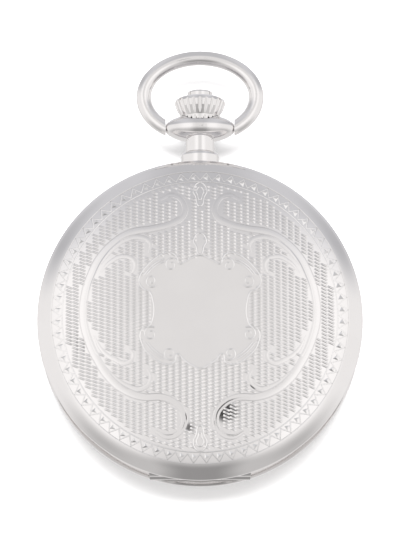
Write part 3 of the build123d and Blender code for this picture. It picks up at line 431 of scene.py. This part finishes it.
# middle height, way its point faces, half length, half width
dropList = [(18.2, -1, 1.85, 1.0), (18.35, -1, 1.0, 0.55), (-18.2, 1, 1.85, 1.0), (-18.35, 1, 1.0, 0.55),
            (10.5, -1, 1.65, 0.95)]
engraving = {
    "ribbonRise": 0.035,            # ribbons rise this far off the ground
    "ribbonSide": [(0.4, 0.03), (0.77, 0.01), (0.84, 0.10), (0.93, 0.10), (1.0, 0.05)],
    "ribbonMiddle": 0.04,
    "ribbonFoot": -0.15,
    "lineRadius": 0.12,
    "zigzagRadius": 0.085,
    "toothRadius": 0.50,
    "toothHeight": 0.20,
    "toothInset": 0.38,
    "toothLift": 0.09,
    "ringPoints": 8,
    "ringTurns": 180,
    "columnPitch": 0.96,
    "rowPitch": 0.52,
    "dashLength": 1.06,
    "dashWidth": 0.34,
    "dashHeight": 0.09,
    "dashSlope": -24.0,
    "dashSink": 0.005,
    "dashFoot": 0.7071,             # a unit square's corner from its middle
    "dashTop": 0.2,
    "edgeGap": 0.45,                # the strokes stop this far inside the inner ring
    "ribbonGap": 0.12,
    "voluteGap": 1.15,
    "lineGap": 0.35,
    "innerRing": 20.2,
    "innerRingRadius": 0.09,
    "outerRing": 21.85,
    "outerRingRadius": 0.06,
    "triangles": 72,
    "triangleTip": 21.65,
    "triangleBase": 20.45,
}


def curveData(name, runs, resolution=6, cyclic=False):
    # smooth runs through the given points; each point may carry its own width as a third number
    data = bpy.data.curves.new(name, "CURVE")
    data.dimensions = "2D"
    data.resolution_u = resolution
    data.fill_mode = "NONE"
    for run in runs:
        spline = data.splines.new("BEZIER")
        spline.bezier_points.add(len(run) - 1)
        spline.use_cyclic_u = cyclic
        for knot, point in zip(spline.bezier_points, run):
            knot.co = (point[0], point[1], 0)
            knot.handle_left_type = "AUTO"
            knot.handle_right_type = "AUTO"
            knot.radius = point[2] if len(point) > 2 else 1.0
    return data


def curveMesh(data):
    holder = bpy.data.objects.new(data.name, data)
    bpy.context.scene.collection.objects.link(holder)
    seen = bpy.context.evaluated_depsgraph_get()
    seen.update()
    mesh = bpy.data.meshes.new_from_object(holder.evaluated_get(seen))
    bpy.data.objects.remove(holder)
    return mesh


def crossSection(name, corners):
    data = bpy.data.curves.new(name, "CURVE")
    data.dimensions = "2D"
    spline = data.splines.new("POLY")
    spline.points.add(len(corners) - 1)
    for point, corner in zip(spline.points, corners):
        point.co = (*corner, 0, 1)
    spline.use_cyclic_u = True
    holder = bpy.data.objects.new(name, data)
    bpy.context.scene.collection.objects.link(holder)
    return holder


def mirrored(run):
    return [(-point[0], *point[1:]) for point in run]


def layOn(mesh, seam, way):
    # drops flat work, drawn in millimetres, on the cover's outside
    for v in mesh.vertices:
        x, y, z = v.co
        v.co = (x * mm, y * mm, (seam + way * (surfaceHeight(math.hypot(x, y)) + z)) * mm)
    if way < 0:
        mesh.flip_normals()


spiral = {"points": 15, "degrees": 480, "closing": 0.78, "thinning": 0.4}


def volute(x, y, radius, start, turn):
    # a spiral that winds in and gets thinner
    run = []
    for i in range(spiral["points"]):
        share = i / (spiral["points"] - 1)
        angle = math.radians(start + turn * spiral["degrees"] * share)
        reach = radius * (1 - spiral["closing"] * share)
        run.append((x + reach * math.cos(angle), y + reach * math.sin(angle), 1 - spiral["thinning"] * share))
    return run


def drop(y, pointed, halfLength, halfWidth):
    # a drop with its point toward the middle of the cover
    return [(0, y + pointed * halfLength), (-halfWidth * 0.62, y + pointed * halfLength * 0.2),
            (-halfWidth, y - pointed * halfLength * 0.35), (0, y - pointed * halfLength),
            (halfWidth, y - pointed * halfLength * 0.35), (halfWidth * 0.62, y + pointed * halfLength * 0.2)]


def tapered(figure):
    # ribbon points with a width that swells and thins toward both ends
    width, taper, count = figure["width"], figure["taper"], len(figure["points"]) - 1
    return [(x, y, width * (taper + (1 - taper) * math.sin(math.pi * i / count) ** 0.5))
            for i, (x, y) in enumerate(figure["points"])]


def makeEngraving(prefix, body, seam, way):
    e = engraving
    rise = e["ribbonRise"]
    side = e["ribbonSide"]
    corners = [(-1.0, e["ribbonFoot"])] + [(-x, rise + height) for x, height in reversed(side)]
    corners += [(0.0, rise + e["ribbonMiddle"])] + [(x, rise + height) for x, height in side]
    ribbonSection = crossSection(prefix + "RibbonSection", corners + [(1.0, e["ribbonFoot"])])
    runs = []
    for figure in scrolls.values():
        run = tapered(figure)
        runs += [run, mirrored(run)]
    ribbons = curveData(prefix + "Ribbons", runs)
    ribbons.bevel_mode = "OBJECT"
    ribbons.bevel_object = ribbonSection
    ribbons.use_fill_caps = True
    ribbonMesh = curveMesh(ribbons)
    layOn(ribbonMesh, seam, way)
    ribbonMesh.set_sharp_from_angle(angle=math.radians(50))
    finishPiece(prefix + "Scrolls", ribbonMesh, body, "polishedSilver")
    bpy.data.objects.remove(ribbonSection)

    # fine raised lines: shield edge, volutes, drops and the two border circles, in the lighter silver whose
    # extra brightness is a painted highlight
    lines = []
    for x, y, radius, start, turn in voluteList:
        run = volute(x, y, radius, start, turn)
        lines += [run, mirrored(run)]
    for run in cornerLines:
        lines += [run, mirrored(run)]
    rims = [shield + [(-x, y) for x, y in shield[-2:0:-1]]]
    rims += [drop(*figure) for figure in dropList]
    for cyclic, group, tag in ((False, lines, "Lines"), (True, rims, "Rims")):
        data = curveData(prefix + tag, group, cyclic=cyclic)
        data.bevel_depth = e["lineRadius"]
        data.bevel_resolution = 1
        data.use_fill_caps = not cyclic
        mesh = curveMesh(data)
        layOn(mesh, seam, way)
        finishPiece(prefix + tag, mesh, body, "paintedHighlightSilver")
    rings = bmesh.new()
    angles = [2 * math.pi * i / e["ringPoints"] for i in range(e["ringPoints"])]
    flip = Matrix.Translation((0, 0, seam * mm)) @ Matrix.Diagonal((1, 1, way, 1))
    for ring, thick in ((e["innerRing"], e["innerRingRadius"]), (e["outerRing"], e["outerRingRadius"])):
        section = [(ring + thick * math.cos(angle), surfaceHeight(ring) + thick * math.sin(angle))
                   for angle in angles]
        spinOutline(rings, section, e["ringTurns"], flip)
    fromBmesh(prefix + "BorderRings", rings, body, "paintedHighlightSilver")

    # border of outlined triangles, each with a small pyramid in it, also in the lighter silver with its
    # painted highlight
    border = bpy.data.curves.new(prefix + "Zigzag", "CURVE")
    border.dimensions = "2D"
    spline = border.splines.new("POLY")
    spline.points.add(2 * e["triangles"] - 1)
    for i in range(2 * e["triangles"]):
        angle = math.pi * i / e["triangles"]
        radius = e["triangleTip"] if i % 2 else e["triangleBase"]
        spline.points[i].co = (radius * math.cos(angle), radius * math.sin(angle), 0, 1)
    spline.use_cyclic_u = True
    border.bevel_depth = e["zigzagRadius"]
    border.bevel_resolution = 1
    zigzag = curveMesh(border)
    layOn(zigzag, seam, way)
    finishPiece(prefix + "Zigzag", zigzag, body, "paintedHighlightSilver")
    teeth = bmesh.new()
    for i in range(e["triangles"]):
        angle = math.pi * (2 * i + 1) / e["triangles"]
        foot = Matrix.Translation((e["triangleBase"] + e["toothInset"], 0, e["toothLift"]))
        place = Matrix.Rotation(angle, 4, "Z") @ foot
        bmesh.ops.create_cone(teeth, segments=3, radius1=e["toothRadius"], radius2=0.0,
                              depth=e["toothHeight"], matrix=place, cap_ends=True)
    toothMesh = bpy.data.meshes.new(prefix + "BorderTeeth")
    teeth.to_mesh(toothMesh)
    teeth.free()
    layOn(toothMesh, seam, way)
    finishPiece(prefix + "BorderTeeth", toothMesh, body, "paintedHighlightSilver", smooth=False)

    # ground of short slanting strokes in columns, left off wherever smooth work lies
    marks = []
    for figure in scrolls.values():
        path = curveMesh(curveData("path", [tapered(figure)]))
        marks += [(v.co.x, v.co.y, figure["width"] + e["ribbonGap"]) for v in path.vertices]
    marks += [(x, y, e["voluteGap"]) for x, y, *_ in voluteList]
    for run in lines:
        marks += [(point[0], point[1], e["lineGap"]) for point in run]
    for y, pointed, halfLength, halfWidth in (dropList[0], dropList[2], dropList[4]):
        marks += [(0, y + halfLength * step / 3, 1.05 - 0.15 * abs(step)) for step in range(-3, 4)]
    marks += [(-x, y, reach) for x, y, reach in marks]
    tree = kdtree.KDTree(len(marks))
    for index, (x, y, reach) in enumerate(marks):
        tree.insert((x, y, 0), index)
    tree.balance()
    polygon = rims[0]

    def inside(x, y):
        hit = False
        for (x0, y0), (x1, y1) in zip(polygon, polygon[1:] + polygon[:1]):
            if (y0 > y) != (y1 > y) and x < x0 + (x1 - x0) * (y - y0) / (y1 - y0):
                hit = not hit
        return hit

    strokes = bmesh.new()
    reach = e["innerRing"] - e["edgeGap"]
    columns = int(reach / e["columnPitch"]) + 1
    rows = int(reach / e["rowPitch"]) + 1
    slope = Matrix.Rotation(math.radians(e["dashSlope"]), 4, "Z")
    shape = Matrix.Diagonal((e["dashLength"], e["dashWidth"], 1, 1)) @ Matrix.Rotation(math.pi / 4, 4, "Z")
    for column in range(-columns, columns + 1):
        for row in range(-rows, rows + 1):
            x = column * e["columnPitch"]
            y = (row + 0.5 * (column % 2)) * e["rowPitch"]
            if math.hypot(x, y) > reach or inside(x, y):
                continue
            near = tree.find_range((x, y, 0), 1.4)
            if any(distance < marks[index][2] for _, index, distance in near):
                continue
            place = Matrix.Translation((x, y, e["dashHeight"] / 2 - e["dashSink"])) @ slope @ shape
            bmesh.ops.create_cone(strokes, segments=4, radius1=e["dashFoot"], radius2=e["dashTop"],
                                  depth=e["dashHeight"], matrix=place, cap_ends=True)
    strokeMesh = bpy.data.meshes.new(prefix + "Strokes")
    strokes.to_mesh(strokeMesh)
    strokes.free()
    layOn(strokeMesh, seam, way)
    print(prefix, "strokes", len(strokeMesh.polygons))
    finishPiece(prefix + "Strokes", strokeMesh, body, "engravedSilver", smooth=False)


makeEngraving("front", "front_cover_body", cover["frontSeam"], 1)
makeEngraving("back", "back_cover_body", cover["backSeam"], -1)
print("engraving made")

# dial print
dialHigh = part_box("dial")[1]
dial = {
    "top": dialHigh[2] / mm,
    "radius": dialHigh[0] / mm,
    "numerals": ["XII", "I", "II", "III", "IIII", "V", "VI", "VII", "VIII", "IX", "X", "XI"],
    "numeralRadius": 13.9,
    "numeralSize": 3.5,
    "numeralNarrow": 0.72,
    "trackOuter": 17.6,
    "trackInner": 16.8,
    "thickness": 0.025,
    "secondsPlace": (0.0, -9.0),
    "secondsOuter": 4.2,
    "secondsInner": 3.6,
}


def printText(text, size, place):
    data = bpy.data.curves.new("numeral", "FONT")
    data.body = text
    data.size = size
    data.align_x = "CENTER"
    data.align_y = "CENTER"
    data.extrude = dial["thickness"] / 2
    mesh = curveMesh(data)
    mesh.transform(place)
    return mesh


def addBar(bm, place, length, width, turn):
    made = bmesh.ops.create_cube(bm, size=1.0)["verts"]
    size = Matrix.Diagonal((length, width, dial["thickness"], 1))
    bmesh.ops.transform(bm, verts=made, matrix=place @ Matrix.Rotation(turn, 4, "Z") @ size)


def addRing(bm, place, radius, width):
    # a flat ring with square edges
    half = dial["thickness"] / 2
    section = [(radius - width / 2, -half), (radius + width / 2, -half),
               (radius + width / 2, half), (radius - width / 2, half)]
    spinOutline(bm, section, 120, Matrix.Translation(place.translation * mm))


def makeDialPrint():
    middle = dial["top"] + dial["thickness"] / 2 - 0.005
    figures = bmesh.new()
    narrow = Matrix.Diagonal((dial["numeralNarrow"], 1, 1, 1))
    for hour, text in enumerate(dial["numerals"]):
        if text == "VI":            # the seconds dial takes its place
            continue
        around = Matrix.Rotation(-math.pi * hour / 6, 4, "Z")
        place = around @ Matrix.Translation((0, dial["numeralRadius"], middle)) @ narrow
        figures.from_mesh(printText(text, dial["numeralSize"], place))
    bmesh.ops.scale(figures, vec=(mm, mm, mm), verts=figures.verts)
    fromBmesh("dialNumerals", figures, "root", "print", smooth=False)

    bars = bmesh.new()
    for minute in range(60):
        turn = math.pi * minute / 30
        long = minute % 5 == 0
        reach = (dial["trackOuter"] + dial["trackInner"]) / 2
        place = Matrix.Translation((reach * math.cos(turn), reach * math.sin(turn), middle))
        addBar(bars, place, dial["trackOuter"] - dial["trackInner"] - 0.02, 0.32 if long else 0.12, turn)
        x, y = dial["secondsPlace"]
        reach = (dial["secondsOuter"] + dial["secondsInner"]) / 2
        place = Matrix.Translation((x + reach * math.cos(turn), y + reach * math.sin(turn), middle))
        addBar(bars, place, dial["secondsOuter"] - dial["secondsInner"] - 0.02, 0.14 if long else 0.06, turn)
    bmesh.ops.scale(bars, vec=(mm, mm, mm), verts=bars.verts)
    for v in bars.verts:
        v.tag = True
    for radius in (dial["trackOuter"], dial["trackInner"]):
        addRing(bars, Matrix.Translation((0, 0, middle)), radius, 0.1)
    for radius in (dial["secondsOuter"], dial["secondsInner"]):
        addRing(bars, Matrix.Translation((*dial["secondsPlace"], middle)), radius, 0.06)
    fromBmesh("dialTracks", bars, "root", "print", smooth=False)


makeDialPrint()
print("dial print made")

# finishes of the kept nodes
nodeFinish = {
    "case_silver": "polishedSilver",
    "crown_silver": "polishedSilver",
    "spring_steel": "springSteel",
    "screw_steel": "bluedSteel",
    "crystal_glass": "glass",
    "plate_nickel": "nickelPlate",
    "gilt_brass": "giltBrass",
    "wheel_steel": "wheelSteel",
    "ruby": "ruby",
    "enamel_white": "enamel",
    "blued_steel": "bluedSteel",
}
for part in frame["record"]["subparts"]:
    shown = nodes[part["node"]]
    finish = finishes[nodeFinish[part["material_slot"]]]
    if not shown.material_slots:
        shown.data.materials.append(finish)
    for holder in shown.material_slots:
        holder.material = finish

# floor, light and camera
studio = {
    "elevation": 78.0,
    "distance": 0.45,
    "frameHeight": 0.0794,          # what the picture's height covers at the watch
    "aim": (0.0, 8.59, 7.3),
    "floorSize": 3.0,
}
bm = bmesh.new()
bmesh.ops.create_grid(bm, x_segments=1, y_segments=1, size=studio["floorSize"])
floorMesh = bpy.data.meshes.new("studioFloor")
bm.to_mesh(floorMesh)
bm.free()
floor = bpy.data.objects.new("studioFloor", floorMesh)
bpy.context.scene.collection.objects.link(floor)
floorFinish, tree, shader, start, place = newMaterial("paleFloor")
cloud = start.node("ShaderNodeTexNoise", None, {"Vector": place, "Scale": 12.0, "Detail": 2.0})
feed(tree, shader, "Base Color", mixColour(start, cloud, (0.90, 0.90, 0.90, 1), (0.92, 0.92, 0.92, 1)))
shader.inputs["Roughness"].default_value = 0.8
shader.inputs["Emission Color"].default_value = (1, 1, 1, 1)
shader.inputs["Emission Strength"].default_value = 0.15
floor.data.materials.append(floorFinish)


def softLight(name, place, target, size, power):
    data = bpy.data.lights.new(name, "AREA")
    data.shape = "RECTANGLE"
    data.size, data.size_y = size
    data.energy = power
    lamp = bpy.data.objects.new(name, data)
    lamp.location = place
    aim = Vector(target) - Vector(place)
    lamp.rotation_euler = aim.to_track_quat("-Z", "Y").to_euler()
    bpy.context.scene.collection.objects.link(lamp)
    return lamp


room = {
    "overhead": 0.86,
    "sideGain": 0.27,               # brighter boxes to the left and right
    "farSideLoss": 0.16,
    "aheadLoss": 0.24,              # duller and cooler beyond the bow
    "behindLoss": 0.52,             # dark where the viewer stands
    "below": 0.80,
    "sideSpan": (0.10, 0.36),       # where each change begins and ends, as a share of the direction
    "farSideSpan": (0.45, 0.80),
    "aheadSpan": (0.26, 0.62),
    "behindSpan": (0.25, 0.85),
    "belowSpan": (0.35, 0.75),
    "lampPlace": (0.0, 0.25, 0.95),
    "lampSize": (0.5, 0.35),
    "lampPower": 14.0,
    "cards": [(0.075, -0.085, 0.032), (-0.03, -0.135, 0.014)],  # black cards: across, along, reach
    "cardDarkness": 0.97,
}
lamp = softLight("overheadBox", room["lampPlace"], (0, 0, 0), room["lampSize"], room["lampPower"])
lamp.visible_glossy = False
lamp.visible_transmission = False
floor.visible_glossy = False

world = bpy.data.worlds.new("studioRoom")
bpy.context.scene.world = world
world.use_nodes = True
tree = world.node_tree
start = Wire(tree, tree.nodes["Background"].outputs[0])
direction = start.node("ShaderNodeTexCoord")
side = start.node("ShaderNodeSeparateXYZ", None, {"Vector": direction})
ahead = start.node("ShaderNodeSeparateXYZ", None, {"Vector": direction}, output=1)
up = start.node("ShaderNodeSeparateXYZ", None, {"Vector": direction}, output=2)
away = side.math("ABSOLUTE")
beyond = ahead.ramp(*room["aheadSpan"])
behind = (ahead * -1.0).ramp(*room["behindSpan"])
strength = room["overhead"] + away.ramp(*room["sideSpan"]) * (1.0 - beyond * 0.6) * room["sideGain"]
strength = strength - away.ramp(*room["farSideSpan"]) * room["farSideLoss"] - beyond * room["aheadLoss"]
strength = strength - behind * room["behindLoss"]
for across, along, reach in room["cards"]:
    gap = ((side - across) * (side - across) + (ahead - along) * (ahead - along)).root()
    card = (1.0 - gap.ramp(reach * 0.9, reach * 1.1)) * up.above(0.5)
    strength = strength * (1.0 - card * room["cardDarkness"])
under = (up * -1.0).ramp(*room["belowSpan"])
strength = strength * (1.0 - under) + under * room["below"]
tree.links.new(strength.socket, tree.nodes["Background"].inputs["Strength"])
tint = mixColour(start, beyond, (1.0, 0.985, 0.98, 1), (0.965, 0.965, 1.0, 1))
tree.links.new(tint.socket, tree.nodes["Background"].inputs["Color"])

lens = bpy.data.cameras.new("studioCamera")
lens.sensor_width = 36.0
lens.lens = 36.0 * studio["distance"] / studio["frameHeight"]
lens.clip_start = 0.01
camera = bpy.data.objects.new("studioCamera", lens)
tilt = math.radians(studio["elevation"])
target = Vector(studio["aim"]) * mm
camera.location = target + studio["distance"] * Vector((0, -math.cos(tilt), math.sin(tilt)))
camera.rotation_euler = (math.pi / 2 - tilt, 0, 0)
bpy.context.scene.collection.objects.link(camera)
bpy.context.scene.camera = camera
bpy.context.scene.view_settings.view_transform = "Standard"
print("studio made")
